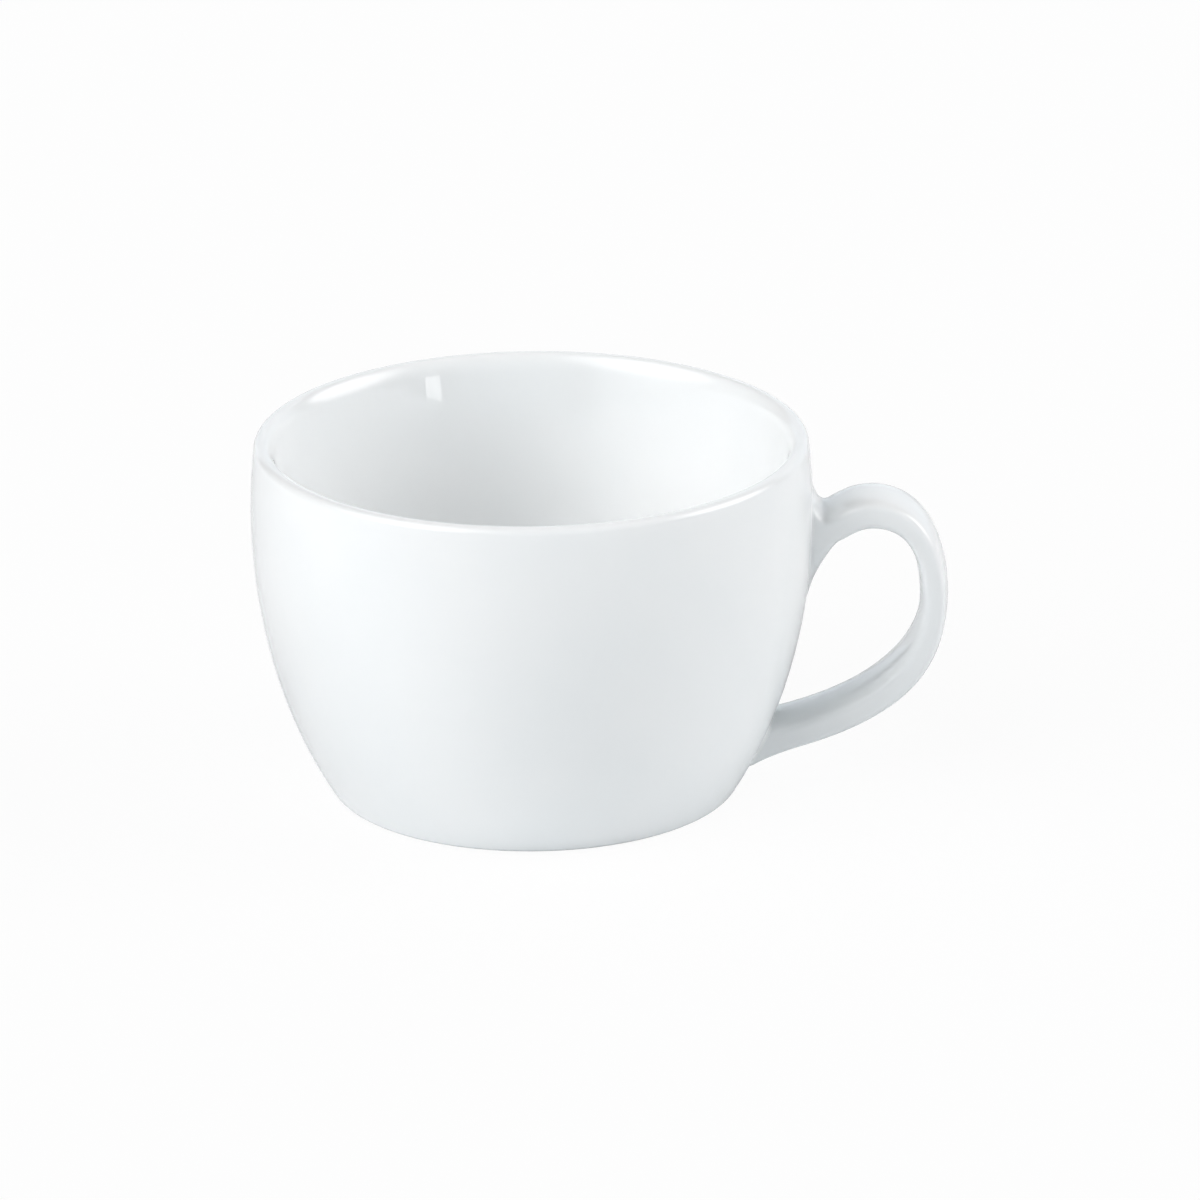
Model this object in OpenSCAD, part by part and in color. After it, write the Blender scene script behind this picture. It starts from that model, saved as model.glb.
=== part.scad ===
// Espresso cup in white glazed porcelain: a bowl on a foot ring, and a loop handle stuck on with clay slip.
// The origin is on the cup's axis, on the surface that it stands on. Up is +Z, and the handle points along +X.

/* [Bowl] */
// Height from the standing surface to the lip
bowl_h = 43; // [34:0.5:60]
// Greatest outer radius of the bowl
bowl_r = 33; // [27:0.5:45]
// Height of the greatest radius
belly_h = 34; // [28:0.5:42]
// Half height of the ellipse that the outer wall follows
wall_curve = 49; // [42:0.5:90]
// Lean of the inner wall just below the lip, in degrees, which makes the wall thicker downward
inner_lean = 12; // [2:0.5:16]
// Radius of the shallow arc that the inner wall follows
inner_bow = 300; // [120:5:600]
// Thickness of the wall where the lip's inner rounding meets it
lip_t = 2.5; // [2.2:0.1:4]
// Height of the lip's inner rounding
lip_drop = 2; // [1:0.1:2.5]
// Radius of the lip's outer edge
lip_round = 1; // [0.4:0.1:1.2]

/* [Floor and foot] */
// Thickness of the floor over the recess
floor_t = 4; // [2:0.1:6]
// Height over the inside floor at which its rounded corner meets the wall
corner_h = 9.5; // [5:0.5:16]
// Depth of the recess inside the foot ring
recess_h = 1.6; // [0.8:0.1:3]
// Width of the flat face that the foot ring stands on
foot_w = 2.4; // [1.5:0.1:5]
// Height of the rounded outer edge of the foot ring
foot_round_h = 0.6; // [0.2:0.1:1.2]
// Bevel on the foot ring's inner edge
foot_bevel = 0.6; // [0.3:0.1:1]
// Distance that the recess's side leans in over its depth
recess_lean = 0.5; // [0.2:0.1:1]
// Rise of the recess towards its middle, which keeps the floor from sagging in the kiln
recess_dome = 0.4; // [0:0.1:0.8]

/* [Handle loop] */
// Height of the upper end's middle line at the wall, below the lip
upper_root_drop = 11.1; // [10:0.1:16]
// Height of the lower end's middle line at the wall
lower_root_h = 5.9; // [5:0.1:10]
// Rise of the middle line where the upper end leaves the wall, in degrees
upper_rise = 1; // [0:1:20]
// Slope of the middle line where the lower end meets the wall, in degrees
lower_rise = 12.5; // [4:0.5:25]
// Height of the loop's crown, below the lip
crown_drop = 8.9; // [7:0.1:9.5]
// Reach of the crown beyond the bowl's greatest radius
crown_out = 7; // [5:0.1:10]
// Height of the loop's outermost point below its crown
side_drop = 10.9; // [8:0.1:14]
// Reach of the outermost point's middle line beyond the bowl's greatest radius
side_out = 14.2; // [12:0.1:22]

/* [Handle strap] */
// Thickness of the strap at its outermost point
strap_t = 3; // [2.4:0.1:5]
// Thickness of the strap from its crown to the wall
root_t = 3.5; // [2.6:0.1:6]
// Width of the strap
strap_w = 8.8; // [6:0.1:12]
// Squareness of the strap's section: 2 is an oval, more is squarer
strap_square = 4.6; // [2:0.1:6]
// Depth of the web under the upper end, down the wall
web_depth = 4.5; // [1:0.1:6]
// Reach of the web out along the strap
web_out = 2.2; // [1.5:0.1:5]
// Flare on top of the upper end, up the wall
upper_flare = 2.8; // [0:0.1:3.5]
// Reach of the upper flare out along the strap
upper_flare_out = 2.6; // [1:0.1:5]
// Flare under the lower end, down the wall
lower_flare = 0.6; // [0:0.1:1]
// Reach of the lower flare out along the strap
lower_flare_out = 4; // [1:0.1:6]

/* [Slip joints] */
// Thickness of the slip layer between handle and wall
slip_t = 0.3; // [0.2:0.05:0.8]
// Width of the bead squeezed out round each end
bead_w = 0.35; // [0.2:0.05:0.8]

/* [Hidden] */
$fn = 128;

porcelain = [0.93, 0.94, 0.95];
slip_white = [0.86, 0.88, 0.90];

floor_z = recess_h + floor_t;
upper_root_h = bowl_h - upper_root_drop;
crown_h = bowl_h - crown_drop;
side_h = crown_h - side_drop;

// Arcs run this far past the faces that they blend into, so that each curve ends in a clean crossing
overrun = 0.003;
// Length of the strap's ends inside the wall, before they are cut to fit it
buried = 8;
// Length of an end inside the wall over which it goes on swelling
swelling_buried = 1.5;
// Length of strap, from inside the wall outward, that a slip joint is shaped from
slip_reach = 3;

// How far each curve of the loop pulls along its end direction, as a share of the distance it spans
root_pull = 0.43;
crown_in_pull = 0.47;
crown_out_pull = 0.38;
side_up_pull = 0.84;
side_down_pull = 0.55;
lower_pull = 0.6;

// Steps along the neck, the shoulder and the lower leg, and points round the strap
neck_steps = 12;
shoulder_steps = 14;
leg_steps = 20;
section_points = 32;
// Crowding of the stations towards the wall
crowding = 1.5;
// Easing of the swellings at the wall: 1 is a straight slope, and more is hollower
web_ease = 1.4;
flare_ease = 2.2;

// A wall is an arc of an ellipse: the radius and the height of its middle, its reach and its half height
outer_wall = [0, belly_h, bowl_r, wall_curve];

function grown(wall, by) = wall + [0, 0, by, by];
function widest(wall) = wall[0] + wall[2];

// Radius of a wall at height z
function wall_r(z, wall = outer_wall) = wall[0] + wall[2] * sqrt(1 - pow((z - wall[1]) / wall[3], 2));

// Outward direction of a wall at height z
function wall_normal(z, wall = outer_wall) =
  let (n = [(wall_r(z, wall) - wall[0]) / pow(wall[2], 2), (z - wall[1]) / pow(wall[3], 2)])
  n / norm(n);

// The lip's crest is the top of its outer rounding, and lip_meet is where its inner rounding runs into the wall
lip_z = bowl_h - lip_round;
crest_r = wall_r(lip_z) - lip_round;
lip_meet = [wall_r(bowl_h - lip_drop) - lip_t, bowl_h - lip_drop];
inner_middle = lip_meet + inner_bow * [-cos(inner_lean), sin(inner_lean)];
inner_wall = [inner_middle.x, inner_middle.y, inner_bow, inner_bow];

// Half axes of the ellipse that rounds the lip inward, level at the crest and along the wall where they meet
lip_reach = crest_r - lip_meet.x;
lip_slope = lip_drop * tan(inner_lean);
lip_tall = lip_drop * (lip_reach - lip_slope) / (lip_reach - 2 * lip_slope);
lip_wide = lip_reach * lip_tall / sqrt(2 * lip_tall * lip_drop - pow(lip_drop, 2));

// Half outline of a wall's whole ellipse
module wall_outline(wall) {
  intersection() {
    translate([wall[0], wall[1]]) scale([wall[2], wall[3]]) circle(1);
    translate([0, wall[1] - wall[3]]) square([2 * widest(wall), 2 * wall[3]]);
  }
}

// Radius of the arc that rounds a base's corner from round_h up, and the arc's centre
function corner_r(wall, base_z, round_h) = round_h / (1 + wall_normal(base_z + round_h, wall).y);
function corner_centre(wall, base_z, round_h) =
  let (meet_z = base_z + round_h)
  [wall_r(meet_z, wall), meet_z] - corner_r(wall, base_z, round_h) * wall_normal(meet_z, wall);

// Half outline of a bowl from base_z to top_z, with the corner at its base rounded
module bowl_outline(wall, base_z, round_h, top_z) {
  centre = corner_centre(wall, base_z, round_h);
  intersection() {
    translate([0, base_z]) square([2 * widest(wall), top_z - base_z]);
    union() {
      intersection() {
        wall_outline(wall);
        translate([0, base_z + round_h]) square([2 * widest(wall), top_z - base_z - round_h]);
      }
      translate(centre) circle(corner_r(wall, base_z, round_h) + overrun);
      translate([0, base_z]) square([centre.x, top_z - base_z]);
    }
  }
}

// Cutters that round the lip, outward and inward
module lip_outer_cut() {
  translate([crest_r, lip_z]) difference() {
    square(2 * lip_round);
    circle(lip_round + overrun);
  }
}

module lip_inner_cut() {
  difference() {
    translate(lip_meet - [lip_reach, 0]) square([2 * lip_reach, 2 * lip_drop]);
    translate([crest_r, bowl_h - lip_tall]) scale([lip_wide + overrun, lip_tall + overrun]) circle(1);
  }
}

// Half outline of the recess inside the foot ring
module recess_outline() {
  recess_r = corner_centre(outer_wall, 0, foot_round_h).x - foot_w;
  polygon([
    [0, -foot_bevel],
    [recess_r + foot_bevel, -foot_bevel],
    [recess_r, 0],
    [recess_r - foot_bevel, foot_bevel],
    [recess_r - foot_bevel - recess_lean, recess_h],
    [0, recess_h + recess_dome]
  ]);
}

module cup_body() {
  color(porcelain) rotate_extrude() difference() {
    bowl_outline(outer_wall, 0, foot_round_h, bowl_h);
    bowl_outline(inner_wall, floor_z, corner_h, bowl_h + lip_drop);
    lip_outer_cut();
    lip_inner_cut();
    recess_outline();
  }
}

// Solid that fills the bowl out to its wall, grown outward by a layer's thickness
module wall_solid(grow) {
  rotate_extrude() wall_outline(grown(outer_wall, grow));
}

function bezier(p, t) =
  pow(1 - t, 3) * p[0] + 3 * pow(1 - t, 2) * t * p[1] + 3 * (1 - t) * t * t * p[2] + t * t * t * p[3];

function bezier_heading(p, t) =
  let (d = pow(1 - t, 2) * (p[1] - p[0]) + 2 * (1 - t) * t * (p[2] - p[1]) + t * t * (p[3] - p[2]))
  d / norm(d);

// The loop's middle line runs from the wall over the crown and the outermost point, and back to the wall
upper_root = [wall_r(upper_root_h), upper_root_h];
crown = [bowl_r + crown_out, crown_h];
side = [bowl_r + side_out, side_h];
lower_root = [wall_r(lower_root_h), lower_root_h];
upper_way = [cos(upper_rise), sin(upper_rise)];
lower_way = [cos(lower_rise), sin(lower_rise)];

neck_curve = [
  upper_root,
  upper_root + root_pull * (crown.x - upper_root.x) * upper_way,
  crown - [crown_in_pull * (crown.x - upper_root.x), 0],
  crown
];
shoulder_curve = [
  crown,
  crown + [crown_out_pull * (side.x - crown.x), 0],
  side + [0, side_up_pull * (crown.y - side.y)],
  side
];
leg_curve = [
  side,
  side - [0, side_down_pull * (side.y - lower_root.y)],
  lower_root + lower_pull * (side.x - lower_root.x) * lower_way,
  lower_root
];

// Station of the strap at share t of a curve: its middle point, its heading, its share of the way from the
// outermost point to the wall, and whether it belongs to the upper end
function station(curve, t, to_wall, upper) = [bezier(curve, t), bezier_heading(curve, t), to_wall, upper];

// Stations lie closer together towards the wall, where the strap swells
upper_stations = [
  for (inside = [buried, swelling_buried])
    [upper_root - inside * upper_way, upper_way, 1, true],
  for (i = [0 : neck_steps - 1])
    let (t = pow(i / neck_steps, crowding))
    station(neck_curve, t, 1 - t / 2, true),
  for (i = [0 : shoulder_steps - 1])
    let (t = i / shoulder_steps)
    station(shoulder_curve, t, (1 - t) / 2, true)
];
lower_stations = [
  for (i = [0 : leg_steps])
    let (t = 1 - pow(1 - i / leg_steps, crowding))
    station(leg_curve, t, t, false),
  for (inside = [swelling_buried, buried])
    [lower_root - inside * lower_way, -lower_way, 1, false]
];

// Swelling of a root: 1 at the wall, easing to 0 at the given reach, and more inside the wall
function swelling(point, reach, ease) =
  let (out = max(-swelling_buried, point.x - wall_r(point.y)))
  pow(max(0, 1 - out / reach), ease);

// Half of the strap's thickness, and what each side of an end adds to it along the wall
function half_t(s) = (strap_t + (root_t - strap_t) * pow(sin(min(90, 180 * s[2])), 2)) / 2;
function flare(s) =
  s[3] ? upper_flare * swelling(s[0], upper_flare_out, flare_ease)
    : lower_flare * swelling(s[0], lower_flare_out, flare_ease);
function web_share(s) = s[3] ? swelling(s[0], web_out, web_ease) : 0;

// Point j of the strap's section at station s, grown all round, where the web's side turns oval
function section_point(s, j, grow) =
  let (
    a = 360 * j / section_points,
    outside = sin(a) >= 0,
    power = 2 / (outside ? strap_square : strap_square + (2 - strap_square) * min(1, web_share(s))),
    across = sign(cos(a)) * pow(abs(cos(a)), power) * (strap_w / 2 + grow),
    up = sign(sin(a)) * pow(abs(sin(a)), power),
    along_wall = (outside ? flare(s) : web_depth * web_share(s)) * (s[3] ? 1 : -1),
    place = s[0] + up * ((half_t(s) + grow) * [-s[1].y, s[1].x] + [0, along_wall])
  )
  [place.x, across, place.y];

// Solid swept through a run of stations
module strap(stations, grow) {
  n = section_points;
  last = len(stations) - 1;
  points = [for (s = stations) for (j = [0 : n - 1]) section_point(s, j, grow)];
  sides = [
    for (i = [0 : last - 1]) for (j = [0 : n - 1])
      let (a = i * n + j, b = i * n + (j + 1) % n)
      each [[a, b, b + n], [a, b + n, a + n]]
  ];
  first_cap = [for (j = [0 : n - 1]) n - 1 - j];
  last_cap = [for (j = [0 : n - 1]) last * n + j];
  polyhedron(points, concat([first_cap], sides, [last_cap]), convexity = 4);
}

module handle() {
  color(porcelain) difference() {
    strap(concat(upper_stations, lower_stations), 0);
    wall_solid(slip_t);
  }
}

// Layer of slip between the wall and the handle's end, with a bead round it
module slip_joint(stations) {
  near = [for (s = stations) if (s[0].x < wall_r(s[0].y) + slip_reach) s];
  color(slip_white) difference() {
    intersection() {
      strap(near, bead_w);
      wall_solid(slip_t);
    }
    wall_solid(0);
  }
}

module upper_slip_joint() {
  slip_joint(upper_stations);
}

module lower_slip_joint() {
  slip_joint(lower_stations);
}

cup_body();
handle();
upper_slip_joint();
lower_slip_joint();
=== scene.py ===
import math

import bmesh
import bpy
from mathutils import Matrix, Vector, noise


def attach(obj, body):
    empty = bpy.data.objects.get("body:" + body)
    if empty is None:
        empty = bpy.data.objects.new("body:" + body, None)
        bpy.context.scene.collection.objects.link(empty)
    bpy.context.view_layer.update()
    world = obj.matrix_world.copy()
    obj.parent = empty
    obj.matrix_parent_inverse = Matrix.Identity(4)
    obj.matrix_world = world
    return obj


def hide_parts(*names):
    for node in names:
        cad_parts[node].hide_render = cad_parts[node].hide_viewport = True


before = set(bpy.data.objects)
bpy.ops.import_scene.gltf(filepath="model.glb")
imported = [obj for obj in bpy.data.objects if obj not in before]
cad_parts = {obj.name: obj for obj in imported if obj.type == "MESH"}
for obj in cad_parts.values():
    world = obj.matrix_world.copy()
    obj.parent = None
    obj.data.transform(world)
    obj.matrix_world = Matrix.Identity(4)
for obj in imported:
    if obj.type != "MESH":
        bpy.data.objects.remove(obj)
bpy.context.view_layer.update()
scene = bpy.context.scene
mm = 0.001  # shapes are worked out in millimetres and scaled as they become meshes
print("frame loaded:", ", ".join(sorted(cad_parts)))


def newMaterial(name):
    material = bpy.data.materials.new(name)
    material.use_nodes = True
    nodes = material.node_tree.nodes
    return material, nodes, material.node_tree.links, nodes["Principled BSDF"]


def addNode(nodes, kind, inputs=None, **settings):
    node = nodes.new(kind)
    for key, value in settings.items():
        setattr(node, key, value)
    for key, value in (inputs or {}).items():
        node.inputs[key].default_value = value
    return node


def addNoise(nodes, links, place, size, detail=2.0):  # size of its blotches in millimetres
    node = addNode(nodes, "ShaderNodeTexNoise", {"Scale": 1 / (size * mm), "Detail": detail})
    links.new(place.outputs["Object"], node.inputs["Vector"])
    return node


def addRamp(nodes, links, source, colours, span=(0.3, 0.7)):
    node = nodes.new("ShaderNodeValToRGB")
    for element, colour, at in zip(node.color_ramp.elements, colours, span):
        element.position = at
        element.color = colour
    links.new(source, node.inputs["Fac"])
    return node


def addBump(nodes, links, height, depth, under=None):  # depth in millimetres
    node = addNode(nodes, "ShaderNodeBump", {"Strength": 1.0, "Distance": depth * mm})
    links.new(height, node.inputs["Height"])
    if under:
        links.new(under.outputs["Normal"], node.inputs["Normal"])
    return node


def makePiece(name, bm, materials, standsFor):
    bmesh.ops.recalc_face_normals(bm, faces=bm.faces)
    bmesh.ops.scale(bm, vec=(mm, mm, mm), verts=bm.verts)
    mesh = bpy.data.meshes.new(name)
    bm.to_mesh(mesh)
    bm.free()
    for material in materials:
        mesh.materials.append(material)
    mesh.shade_smooth()
    piece = bpy.data.objects.new(name, mesh)
    scene.collection.objects.link(piece)
    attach(piece, "root")
    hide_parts(standsFor)
    print(name, "made,", len(mesh.polygons), "faces")


# glazed porcelain, with the slow ripple and the fine peel that a fired glaze has
glaze = {
    "thin": (0.893, 0.911, 0.916, 1),
    "thick": (0.872, 0.897, 0.905, 1),
    "blotch": 14.0,  # sizes and depths in millimetres
    "gloss": (0.015, 0.035),
    "ripple": 11.0,
    "rippleDepth": 0.006,
    "peel": 0.9,
    "peelDepth": 0.0006,
    "refraction": 1.5,
}


def glazeMaterial(name, look):
    material, nodes, links, shader = newMaterial(name)
    place = nodes.new("ShaderNodeTexCoord")
    blotch = addNoise(nodes, links, place, look["blotch"])
    tint = addRamp(nodes, links, blotch.outputs["Fac"], (look["thin"], look["thick"]))
    links.new(tint.outputs["Color"], shader.inputs["Base Color"])
    low, high = look["gloss"]
    smear = addNoise(nodes, links, place, look["blotch"] / 3, 4.0)  # finer than the blotches
    gloss = addNode(nodes, "ShaderNodeMapRange", {"To Min": low, "To Max": high})
    links.new(smear.outputs["Fac"], gloss.inputs["Value"])
    links.new(gloss.outputs["Result"], shader.inputs["Roughness"])
    ripple = addNoise(nodes, links, place, look["ripple"], 1.0)
    peel = addNoise(nodes, links, place, look["peel"], 2.0)
    bump = addBump(nodes, links, ripple.outputs["Fac"], look["rippleDepth"])
    bump = addBump(nodes, links, peel.outputs["Fac"], look["peelDepth"], bump)
    links.new(bump.outputs["Normal"], shader.inputs["Normal"])
    shader.inputs["IOR"].default_value = look["refraction"]
    return material


# the standing face of the foot ring is wiped clean of glaze before firing
biscuit = {
    "pale": (0.80, 0.78, 0.74, 1),
    "worn": (0.62, 0.59, 0.55, 1),
    "patch": 5.0,
    "patchSpan": (0.4, 0.8),
    "grain": 0.25,
    "grainDepth": 0.012,
    "roughness": 0.75,
}


def biscuitMaterial(name, look):
    material, nodes, links, shader = newMaterial(name)
    place = nodes.new("ShaderNodeTexCoord")
    patch = addNoise(nodes, links, place, look["patch"], 6.0)
    tint = addRamp(nodes, links, patch.outputs["Fac"], (look["pale"], look["worn"]), look["patchSpan"])
    links.new(tint.outputs["Color"], shader.inputs["Base Color"])
    grain = addNoise(nodes, links, place, look["grain"], 3.0)
    bump = addBump(nodes, links, grain.outputs["Fac"], look["grainDepth"])
    links.new(bump.outputs["Normal"], shader.inputs["Normal"])
    shader.inputs["Roughness"].default_value = look["roughness"]
    return material


porcelainWhite = glazeMaterial("porcelainWhite", glaze)
slipWhite = glazeMaterial("slipWhite", {**glaze, "blotch": 3.0, "ripple": 2.0, "rippleDepth": 0.03})
unglazedFoot = biscuitMaterial("unglazedFoot", biscuit)
print("materials made")


# the bowl, turned from one outline
bowl = {
    "height": 43.0,
    "radius": 33.0,  # at the belly
    "bellyHeight": 34.0,
    "wallCurve": 49.0,  # half height of the outer wall's ellipse
    "lipThickness": 2.5,  # where the lip's inner rounding meets the wall
    "lipDrop": 2.0,  # height of that rounding
    "lipRound": 1.0,  # of the lip's outer edge
    "innerLean": 12.0,  # of the inner wall just below the lip, in degrees
    "innerBow": 300.0,
    "floorTop": 5.6,
    "cornerHeight": 9.5,
    "footRound": 0.6,
    "footWidth": 2.4,
    "footBevel": 0.6,
    "recess": 1.6,
    "recessLean": 0.5,
    "recessDome": 0.4,
    "domeKnee": (0.5, 0.72),  # a point on the dome, as shares of its radius and its rise
    "recessRounds": (3.0, 0.45, 0.3, 0.3),  # roundings from the knee out to the ring's inner edge
    "bareBelow": 0.06,  # no glaze lower than this
    "footSteps": 10,
    "wallSteps": 48,
    "lipSteps": (12, 20),  # outer and inner rounding
    "cornerSteps": 24,
    "turns": 224,
}


# a wall is an arc of an ellipse: radius of its middle, reach, half height and height of its middle
outerWall = (0.0, bowl["radius"], bowl["wallCurve"], bowl["bellyHeight"])


def wallRadius(z, wall=outerWall):
    start, reach, half, middle = wall
    return start + reach * math.sqrt(1 - ((z - middle) / half) ** 2)


def wallNormal(z, wall=outerWall):
    start, reach, half, middle = wall
    return Vector(((wallRadius(z, wall) - start) / reach ** 2, (z - middle) / half ** 2)).normalized()


def leaningWall(b):  # the inner wall, a long shallow arc that leaves the lip thin
    meet = b["height"] - b["lipDrop"]
    lean, bow = math.radians(b["innerLean"]), b["innerBow"]
    start = wallRadius(meet) - b["lipThickness"] - bow * math.cos(lean)
    return start, bow, bow, meet + bow * math.sin(lean)


def wallRun(wall, start, end, steps):
    heights = [start + (end - start) * i / steps for i in range(steps + 1)]
    return [Vector((wallRadius(z, wall), z)) for z in heights]


def arcRun(centre, radius, start, end, steps):  # angles in radians
    turns = [start + (end - start) * i / steps for i in range(steps + 1)]
    return [centre + radius * Vector((math.cos(a), math.sin(a))) for a in turns]


# centre and radius of the arc that rounds a base, and the angle where it leaves the wall
def baseCorner(wall, base, rise):
    normal = wallNormal(base + rise, wall)
    radius = rise / (1 + normal.y)
    centre = Vector((wallRadius(base + rise, wall), base + rise)) - radius * normal
    return centre, radius, math.atan2(normal.y, normal.x)


# a run of straight lines through corners given as radius, height and rounding
def roundedRun(corners, steps=6):
    spots = [Vector(c[:2]) for c in corners]
    run = [spots[0]]
    for i in range(1, len(spots) - 1):
        back = (spots[i - 1] - spots[i]).normalized()
        ahead = (spots[i + 1] - spots[i]).normalized()
        cut = corners[i][2]
        for k in range(steps + 1):
            t = k / steps
            run.append(spots[i] + cut * ((1 - t) ** 2 * back + t ** 2 * ahead))
    return run + [spots[-1]]


# part of an ellipse from the lip's crest to where it runs into the inner wall
def lipRun(b, crest, inner, steps):
    drop = b["lipDrop"]
    meet = b["height"] - drop
    reach = crest - wallRadius(meet, inner)
    lean = math.tan(math.radians(b["innerLean"]))
    tall = drop * (reach - drop * lean) / (reach - 2 * drop * lean)
    wide = reach * tall / math.sqrt(2 * tall * drop - drop ** 2)
    end = math.pi - math.asin((tall - drop) / tall)
    turns = [math.pi / 2 + (end - math.pi / 2) * i / steps for i in range(steps + 1)]
    return [Vector((crest + wide * math.cos(a), b["height"] - tall + tall * math.sin(a))) for a in turns]


def bowlOutline(b):
    outer, inner, lip = outerWall, leaningWall(b), b["lipRound"]
    foot, footRadius, footAngle = baseCorner(outer, 0, b["footRound"])
    corner, cornerRadius, cornerAngle = baseCorner(inner, b["floorTop"], b["cornerHeight"])
    ringIn = foot.x - b["footWidth"]
    side = ringIn - b["footBevel"]
    lipZ = b["height"] - lip
    lipOut = Vector((wallRadius(lipZ, outer) - lip, lipZ))
    outerAngle = math.atan2(*reversed(wallNormal(lipZ, outer)))
    kneeOut, kneeRise = b["domeKnee"]
    kneeRound, sideRound, bevelRound, ringRound = b["recessRounds"]
    outerSteps, innerSteps = b["lipSteps"]
    run = roundedRun((
        (0, b["recess"] + b["recessDome"], 0),
        (side * kneeOut, b["recess"] + b["recessDome"] * kneeRise, kneeRound),
        (side - b["recessLean"], b["recess"], sideRound),
        (side, b["footBevel"], bevelRound),
        (ringIn, 0, ringRound),
        (foot.x, 0, 0),
    ))
    run += arcRun(foot, footRadius, -math.pi / 2, footAngle, b["footSteps"])[1:]
    run += wallRun(outer, b["footRound"], lipZ, b["wallSteps"])[1:]
    run += arcRun(lipOut, lip, outerAngle, math.pi / 2, outerSteps)[1:]
    run += lipRun(b, lipOut.x, inner, innerSteps)[1:]
    run += wallRun(inner, b["height"] - b["lipDrop"], b["floorTop"] + b["cornerHeight"], b["wallSteps"])[1:]
    run += arcRun(corner, cornerRadius, cornerAngle, -math.pi / 2, b["cornerSteps"])[1:]
    return run + [Vector((0, b["floorTop"]))]


def makeBowl(b):
    bm = bmesh.new()
    verts = [bm.verts.new((p.x, 0, p.y)) for p in bowlOutline(b)]
    for one, two in zip(verts, verts[1:]):
        bm.edges.new((one, two))
    bmesh.ops.spin(bm, geom=bm.verts[:] + bm.edges[:], axis=(0, 0, 1), cent=(0, 0, 0),
                   angle=math.tau, steps=b["turns"], use_merge=True)
    bmesh.ops.remove_doubles(bm, verts=bm.verts, dist=1e-5)
    for face in bm.faces:  # the standing face is bare clay
        face.material_index = 1 if max(v.co.z for v in face.verts) < b["bareBelow"] else 0
    makePiece("bowl", bm, (porcelainWhite, unglazedFoot), "cup_body")


makeBowl(bowl)


# the handle, a strap drawn along three curves and fitted to the bowl's wall
strap = {
    "upperRoot": 31.9,  # heights of the middle line at the wall
    "lowerRoot": 5.9,
    "upperRise": 1.0,
    "lowerRise": 12.5,
    "crown": (40.0, 34.1),
    "side": (47.2, 23.2),
    "pulls": (0.43, 0.47, 0.38, 0.84, 0.55, 0.6),  # of each curve's two ends, as shares of its span
    "thickness": (3.3, 4.25),  # at the outermost point and from the crown to the wall
    "width": 8.8,
    "squareness": 4.6,
    "draft": 0.22,  # how much thinner the strap is at its edges than along the mould's seam
    "seamRound": 0.06,  # softening of that seam, as a share of half the width
    "web": (4.5, 2.2, 1.4),  # depth, reach and hollowness of each swelling at the wall
    "upperFlare": (2.8, 2.6, 2.2),
    "lowerFlare": (0.6, 4.0, 2.2),
    "sunk": 1.5,  # how far inside the wall a swelling still grows
    "buried": 8.0,  # length of each end inside the wall before it is cut
    "upperSearch": (-1, 0.9),  # ways along the loop, inside and outside the wall
    "lowerSearch": (4, 2.2),
    "rings": (30, 26, 44),
    "crowding": 1.5,
    "sectionPoints": 64,
}


def curvePoint(p, t):
    u = 1 - t
    return u ** 3 * p[0] + 3 * u ** 2 * t * p[1] + 3 * u * t ** 2 * p[2] + t ** 3 * p[3]


def curveHeading(p, t):
    u = 1 - t
    return (u ** 2 * (p[1] - p[0]) + 2 * u * t * (p[2] - p[1]) + t ** 2 * (p[3] - p[2])).normalized()


def loopCurves(s):
    upper = Vector((wallRadius(s["upperRoot"]), s["upperRoot"]))
    lower = Vector((wallRadius(s["lowerRoot"]), s["lowerRoot"]))
    crown, side = Vector(s["crown"]), Vector(s["side"])
    leans = math.radians(s["upperRise"]), math.radians(s["lowerRise"])
    rise, slope = (Vector((math.cos(a), math.sin(a))) for a in leans)
    root, crownIn, crownOut, sideUp, sideDown, low = s["pulls"]
    reach, out, drop = crown.x - upper.x, side.x - crown.x, crown.y - side.y
    neck = (upper, upper + root * reach * rise, crown - Vector((crownIn * reach, 0)), crown)
    shoulder = (crown, crown + Vector((crownOut * out, 0)), side + Vector((0, sideUp * drop)), side)
    fall, back = side.y - lower.y, side.x - lower.x
    leg = (side, side - Vector((0, sideDown * fall)), lower + low * back * slope, lower)
    return neck, shoulder, leg


loop = loopCurves(strap)


# middle point and heading: way 0 is the upper root, 1 the crown, 2 the outermost point, 3 the lower root
def loopPlace(way):
    if way < 0:
        heading = curveHeading(loop[0], 0)
        return loop[0][0] + way * strap["buried"] * heading, heading
    if way > 3:
        heading = curveHeading(loop[2], 1)
        return loop[2][3] + (way - 3) * strap["buried"] * heading, heading
    which = min(2, int(way))
    return curvePoint(loop[which], way - which), curveHeading(loop[which], way - which)


def swelling(spot, shape):
    reach, hollow = shape[1:]
    out = max(-strap["sunk"], spot.x - wallRadius(spot.y))
    return max(0, 1 - out / reach) ** hollow


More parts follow.
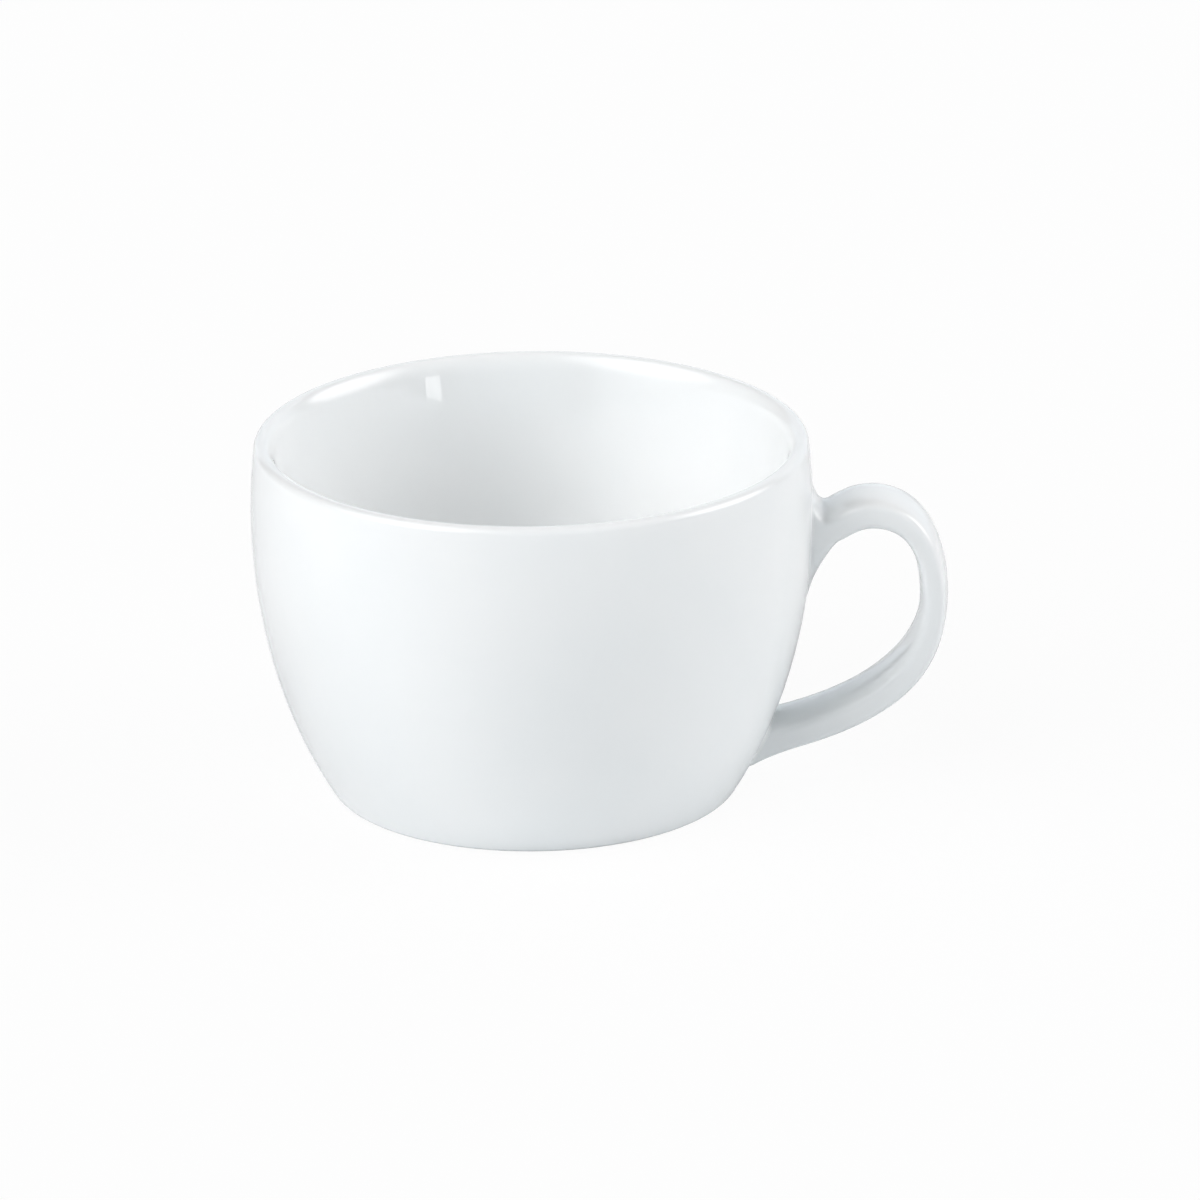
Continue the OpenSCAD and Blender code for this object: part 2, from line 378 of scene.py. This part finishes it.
def strapPoint(way, angle):
    spot, heading = loopPlace(way)
    upper, outside = way < 2, math.sin(angle) >= 0
    web = swelling(spot, strap["web"]) if upper else 0
    fromSide = min(1, abs(way - 2)) if upper else min(1, 2 * (way - 2))  # the leg thickens faster
    thin, thick = strap["thickness"]
    half = (thin + (thick - thin) * math.sin(fromSide * math.pi / 2) ** 2) / 2
    square = strap["squareness"]
    power = 2 / (square if outside else square + (2 - square) * min(1, web))
    across = math.copysign(abs(math.cos(angle)) ** power, math.cos(angle)) * strap["width"] / 2
    up = math.copysign(abs(math.sin(angle)) ** power, math.sin(angle))
    soft = strap["seamRound"]
    up *= 1 - strap["draft"] * (math.hypot(2 * across / strap["width"], soft) - soft)
    flare = strap["upperFlare"] if upper else strap["lowerFlare"]
    alongWall = flare[0] * swelling(spot, flare) if outside else strap["web"][0] * web
    lift = Vector((0, alongWall if upper else -alongWall))
    place = spot + up * (half * Vector((-heading.y, heading.x)) + lift)
    return Vector((place.x, across, place.y))


def wallGap(p):
    return math.hypot(p.x, p.y) - wallRadius(p.z)


def meetWall(angle, inside, outside):  # where a line of the strap reaches the wall, by halving
    for _ in range(40):
        middle = (inside + outside) / 2
        if wallGap(strapPoint(middle, angle)) < 0:
            inside = middle
        else:
            outside = middle
    return (inside + outside) / 2


def ringWays(s):  # rings crowd towards the wall, where the strap swells
    neck, shoulder, leg = s["rings"]
    ways = [(i / neck) ** s["crowding"] for i in range(neck)]
    ways += [1 + i / shoulder for i in range(shoulder)]
    return ways + [3 - (1 - i / leg) ** s["crowding"] for i in range(leg + 1)]


angles = [math.tau * j / strap["sectionPoints"] for j in range(strap["sectionPoints"])]
upperEnds = [meetWall(a, *strap["upperSearch"]) for a in angles]
lowerEnds = [meetWall(a, *strap["lowerSearch"]) for a in angles]


def makeHandle(s):
    bm = bmesh.new()
    rings = []
    for way in ringWays(s):
        ring = []
        for angle, first, last in zip(angles, upperEnds, lowerEnds):
            fitted = way
            if way < 1:
                fitted = first + (1 - first) * way
            elif way > 2:
                fitted = 2 + (last - 2) * (way - 2)
            ring.append(bm.verts.new(strapPoint(fitted, angle)))
        rings.append(ring)
    for one, two in zip(rings, rings[1:]):
        for j in range(len(angles)):
            k = (j + 1) % len(angles)
            bm.faces.new((one[j], one[k], two[k], two[j]))
    bm.faces.new(rings[0])
    bm.faces.new(rings[-1])
    bmesh.ops.triangulate(bm, faces=[f for f in bm.faces if len(f.verts) > 4])
    makePiece("handle", bm, (porcelainWhite,), "handle")


makeHandle(strap)


# slip squeezed out round each end of the handle, a small hollow bead with a few lumps
slip = {
    "bead": 0.4,
    "overlap": 0.15,  # how far it lies inside the wall and the strap
    "lumps": 0.35,
    "lumpSize": 1.6,
    "step": 0.02,  # along the loop, to find which way the strap leaves the wall
    "hollowSteps": 5,
}


def onWall(p):
    flat = Vector((p.x, p.y)).normalized() * wallRadius(p.z)
    return Vector((flat.x, flat.y, p.z))


def makeSlip(name, ends, outward, standsFor, s):
    bm = bmesh.new()
    root = [strapPoint(way, a) for way, a in zip(ends, angles)]
    middle = sum(root, Vector()) / len(root)
    rings = []
    for j, corner in enumerate(root):
        along = (root[(j + 1) % len(root)] - root[j - 1]).normalized()
        flat = wallNormal(corner.z)
        radial = Vector((corner.x, corner.y, 0)).normalized()
        normal = (flat.x * radial + Vector((0, 0, flat.y))).normalized()
        away = along.cross(normal).normalized()
        if away.dot(corner - middle) < 0:
            away = -away
        up = (strapPoint(ends[j] + outward * s["step"], angles[j]) - corner).normalized()
        bead = s["bead"] * (1 + s["lumps"] * noise.noise(corner / s["lumpSize"]))
        low, high = onWall(corner + bead * away), corner + bead * up
        ring = []
        for i in range(s["hollowSteps"] + 1):
            t = i / s["hollowSteps"]
            ring.append(bm.verts.new((1 - t) ** 2 * low + 2 * t * (1 - t) * corner + t ** 2 * high))
        sunk = -s["overlap"] * normal
        ring.append(bm.verts.new(high - s["overlap"] * away))
        ring.append(bm.verts.new(corner - s["overlap"] * away + sunk))
        ring.append(bm.verts.new(low + sunk))
        rings.append(ring)
    for j, one in enumerate(rings):
        two = rings[(j + 1) % len(rings)]
        for i in range(len(one)):
            k = (i + 1) % len(one)
            bm.faces.new((one[i], one[k], two[k], two[i]))
    makePiece(name, bm, (slipWhite,), standsFor)


makeSlip("upperSlip", upperEnds, 1, "upper_slip_joint", slip)
makeSlip("lowerSlip", lowerEnds, -1, "lower_slip_joint", slip)


# a white floor that the camera sees as almost plain white, with the cup's shadow still on it
stage = {
    "size": 3000.0,
    "white": (0.785, 0.8, 0.81, 1),
    "roughness": 0.9,
    "shadowKept": 0.06,  # share of the lit floor that the camera sees, the rest is plain white
    "below": 0.02,  # a hair under the foot ring
}


def makeFloor(s):
    bm = bmesh.new()
    bmesh.ops.create_grid(bm, x_segments=1, y_segments=1, size=s["size"] / 2 * mm)
    mesh = bpy.data.meshes.new("floor")
    bm.to_mesh(mesh)
    bm.free()
    material, nodes, links, shader = newMaterial("floorWhite")
    shader.inputs["Base Color"].default_value = s["white"]
    shader.inputs["Roughness"].default_value = s["roughness"]
    shader.inputs["Specular IOR Level"].default_value = 0.0
    rays = nodes.new("ShaderNodeLightPath")
    share = addNode(nodes, "ShaderNodeMath", {1: 1 - s["shadowKept"]}, operation="MULTIPLY")
    plain = addNode(nodes, "ShaderNodeEmission", {"Color": (1, 1, 1, 1), "Strength": 1.0})
    mix = nodes.new("ShaderNodeMixShader")
    links.new(rays.outputs["Is Camera Ray"], share.inputs[0])
    links.new(share.outputs["Value"], mix.inputs["Fac"])
    links.new(shader.outputs["BSDF"], mix.inputs[1])
    links.new(plain.outputs["Emission"], mix.inputs[2])
    links.new(mix.outputs["Shader"], nodes["Material Output"].inputs["Surface"])
    mesh.materials.append(material)
    floor = bpy.data.objects.new("floor", mesh)
    floor.location.z = -s["below"] * mm
    scene.collection.objects.link(floor)
    print("floor made")


makeFloor(stage)


# soft studio light: glows with soft edges, as from large diffusers, and one small bare window
# around and up are directions in degrees seen from the cup's front
# full and fade are the half widths where a glow starts to fade and has faded
studio = {
    "glows": {
        "leftSoftbox": {"around": -58, "up": 39, "full": 0, "fade": 40,
                        "bright": 3.68, "tint": (1.01, 0.985, 0.975)},
        "rightSoftbox": {"around": 92, "up": 26, "full": 0, "fade": 31,
                         "bright": 4.9, "tint": (1.01, 0.99, 0.985)},
        "frontFill": {"around": 10, "up": 10, "full": 0, "fade": 34,
                      "bright": 0.78, "tint": (0.89, 1.0, 1.06)},
        "lowFill": {"around": -52, "up": 10, "full": 0, "fade": 32,
                    "bright": 0.96, "tint": (0.93, 1.0, 1.04)},
        "backWall": {"around": 168, "up": 0, "full": 37, "fade": 48,
                     "bright": 1.06, "tint": (0.93, 1.0, 1.06)},
    },
    "window": {"around": 45, "up": 6.3, "size": (0.125, 0.112), "power": 0.18,  # metres and watts
               "away": 1.0, "aim": 20.0},  # aimed at a height in millimetres
}


def towards(look):
    around, up = math.radians(look["around"]), math.radians(look["up"])
    return Vector((math.cos(up) * math.sin(around), -math.cos(up) * math.cos(around), math.sin(up)))


def makeWalls(glows):
    world = bpy.data.worlds.new("whiteStudio")
    scene.world = world
    world.use_nodes = True
    nodes, links = world.node_tree.nodes, world.node_tree.links
    place = nodes.new("ShaderNodeTexCoord")
    total = None
    for look in glows.values():
        near = addNode(nodes, "ShaderNodeVectorMath", {1: towards(look)}, operation="DOT_PRODUCT")
        faded, full = (math.cos(math.radians(look[key])) for key in ("fade", "full"))
        soft = addNode(nodes, "ShaderNodeMapRange", {"From Min": faded, "From Max": full},
                       interpolation_type="SMOOTHERSTEP")
        colour = [look["bright"] * t for t in look["tint"]]
        glow = addNode(nodes, "ShaderNodeVectorMath", {0: colour}, operation="SCALE")
        links.new(place.outputs["Generated"], near.inputs[0])
        links.new(near.outputs["Value"], soft.inputs["Value"])
        links.new(soft.outputs["Result"], glow.inputs["Scale"])
        if total:
            both = addNode(nodes, "ShaderNodeVectorMath", operation="ADD")
            links.new(total.outputs["Vector"], both.inputs[0])
            links.new(glow.outputs["Vector"], both.inputs[1])
            glow = both
        total = glow
    links.new(total.outputs["Vector"], nodes["Background"].inputs["Color"])
    rays = nodes.new("ShaderNodeLightPath")
    plain = addNode(nodes, "ShaderNodeBackground", {"Color": (1, 1, 1, 1), "Strength": 1.0})
    mix = nodes.new("ShaderNodeMixShader")  # plain white where the camera looks past the floor
    links.new(rays.outputs["Is Camera Ray"], mix.inputs["Fac"])
    links.new(nodes["Background"].outputs["Background"], mix.inputs[1])
    links.new(plain.outputs["Background"], mix.inputs[2])
    links.new(mix.outputs["Shader"], nodes["World Output"].inputs["Surface"])


def makeWindow(look):
    lamp = bpy.data.lights.new("lowWindow", "AREA")
    lamp.shape = "RECTANGLE"
    lamp.size, lamp.size_y = look["size"]
    lamp.energy = look["power"]
    holder = bpy.data.objects.new("lowWindow", lamp)
    holder.location = towards(look) * look["away"] + Vector((0, 0, look["aim"] * mm))
    holder.rotation_euler = towards(look).to_track_quat("Z", "Y").to_euler()
    holder.visible_camera = False
    scene.collection.objects.link(holder)


makeWalls(studio["glows"])
makeWindow(studio["window"])
print("studio lit with", len(studio["glows"]), "glows and a window")


# the camera, fitted to the photograph's outline
view = {
    "elevation": 19.8,
    "roll": -0.53,
    "distance": 1283.0,
    "aim": (0, 0, 21.45),
    "lens": 326.8,
    "film": 36.0,
    "clip": (0.05, 20.0),  # in metres
    "aside": (7.875, 1.19),  # the cup stands a little left of the picture's middle and below it
}


def makeCamera(v):
    tilt, roll = math.radians(v["elevation"]), math.radians(v["roll"])
    ahead = Vector((0, math.cos(tilt), -math.sin(tilt)))
    level, top = Vector((1, 0, 0)), Vector((0, math.sin(tilt), math.cos(tilt)))
    right = level * math.cos(roll) + top * math.sin(roll)
    up = top * math.cos(roll) - level * math.sin(roll)
    aside, above = v["aside"]
    place = Vector(v["aim"]) - ahead * v["distance"] + right * aside + up * above
    lens = bpy.data.cameras.new("photoView")
    lens.lens = v["lens"]
    lens.sensor_width = v["film"]
    lens.clip_start, lens.clip_end = v["clip"]
    camera = bpy.data.objects.new("photoView", lens)
    turn = Matrix((right, up, -ahead)).transposed().to_4x4()
    camera.matrix_world = Matrix.Translation(place * mm) @ turn
    scene.collection.objects.link(camera)
    scene.camera = camera
    print("camera set")


makeCamera(view)
scene.view_settings.view_transform = "Standard"
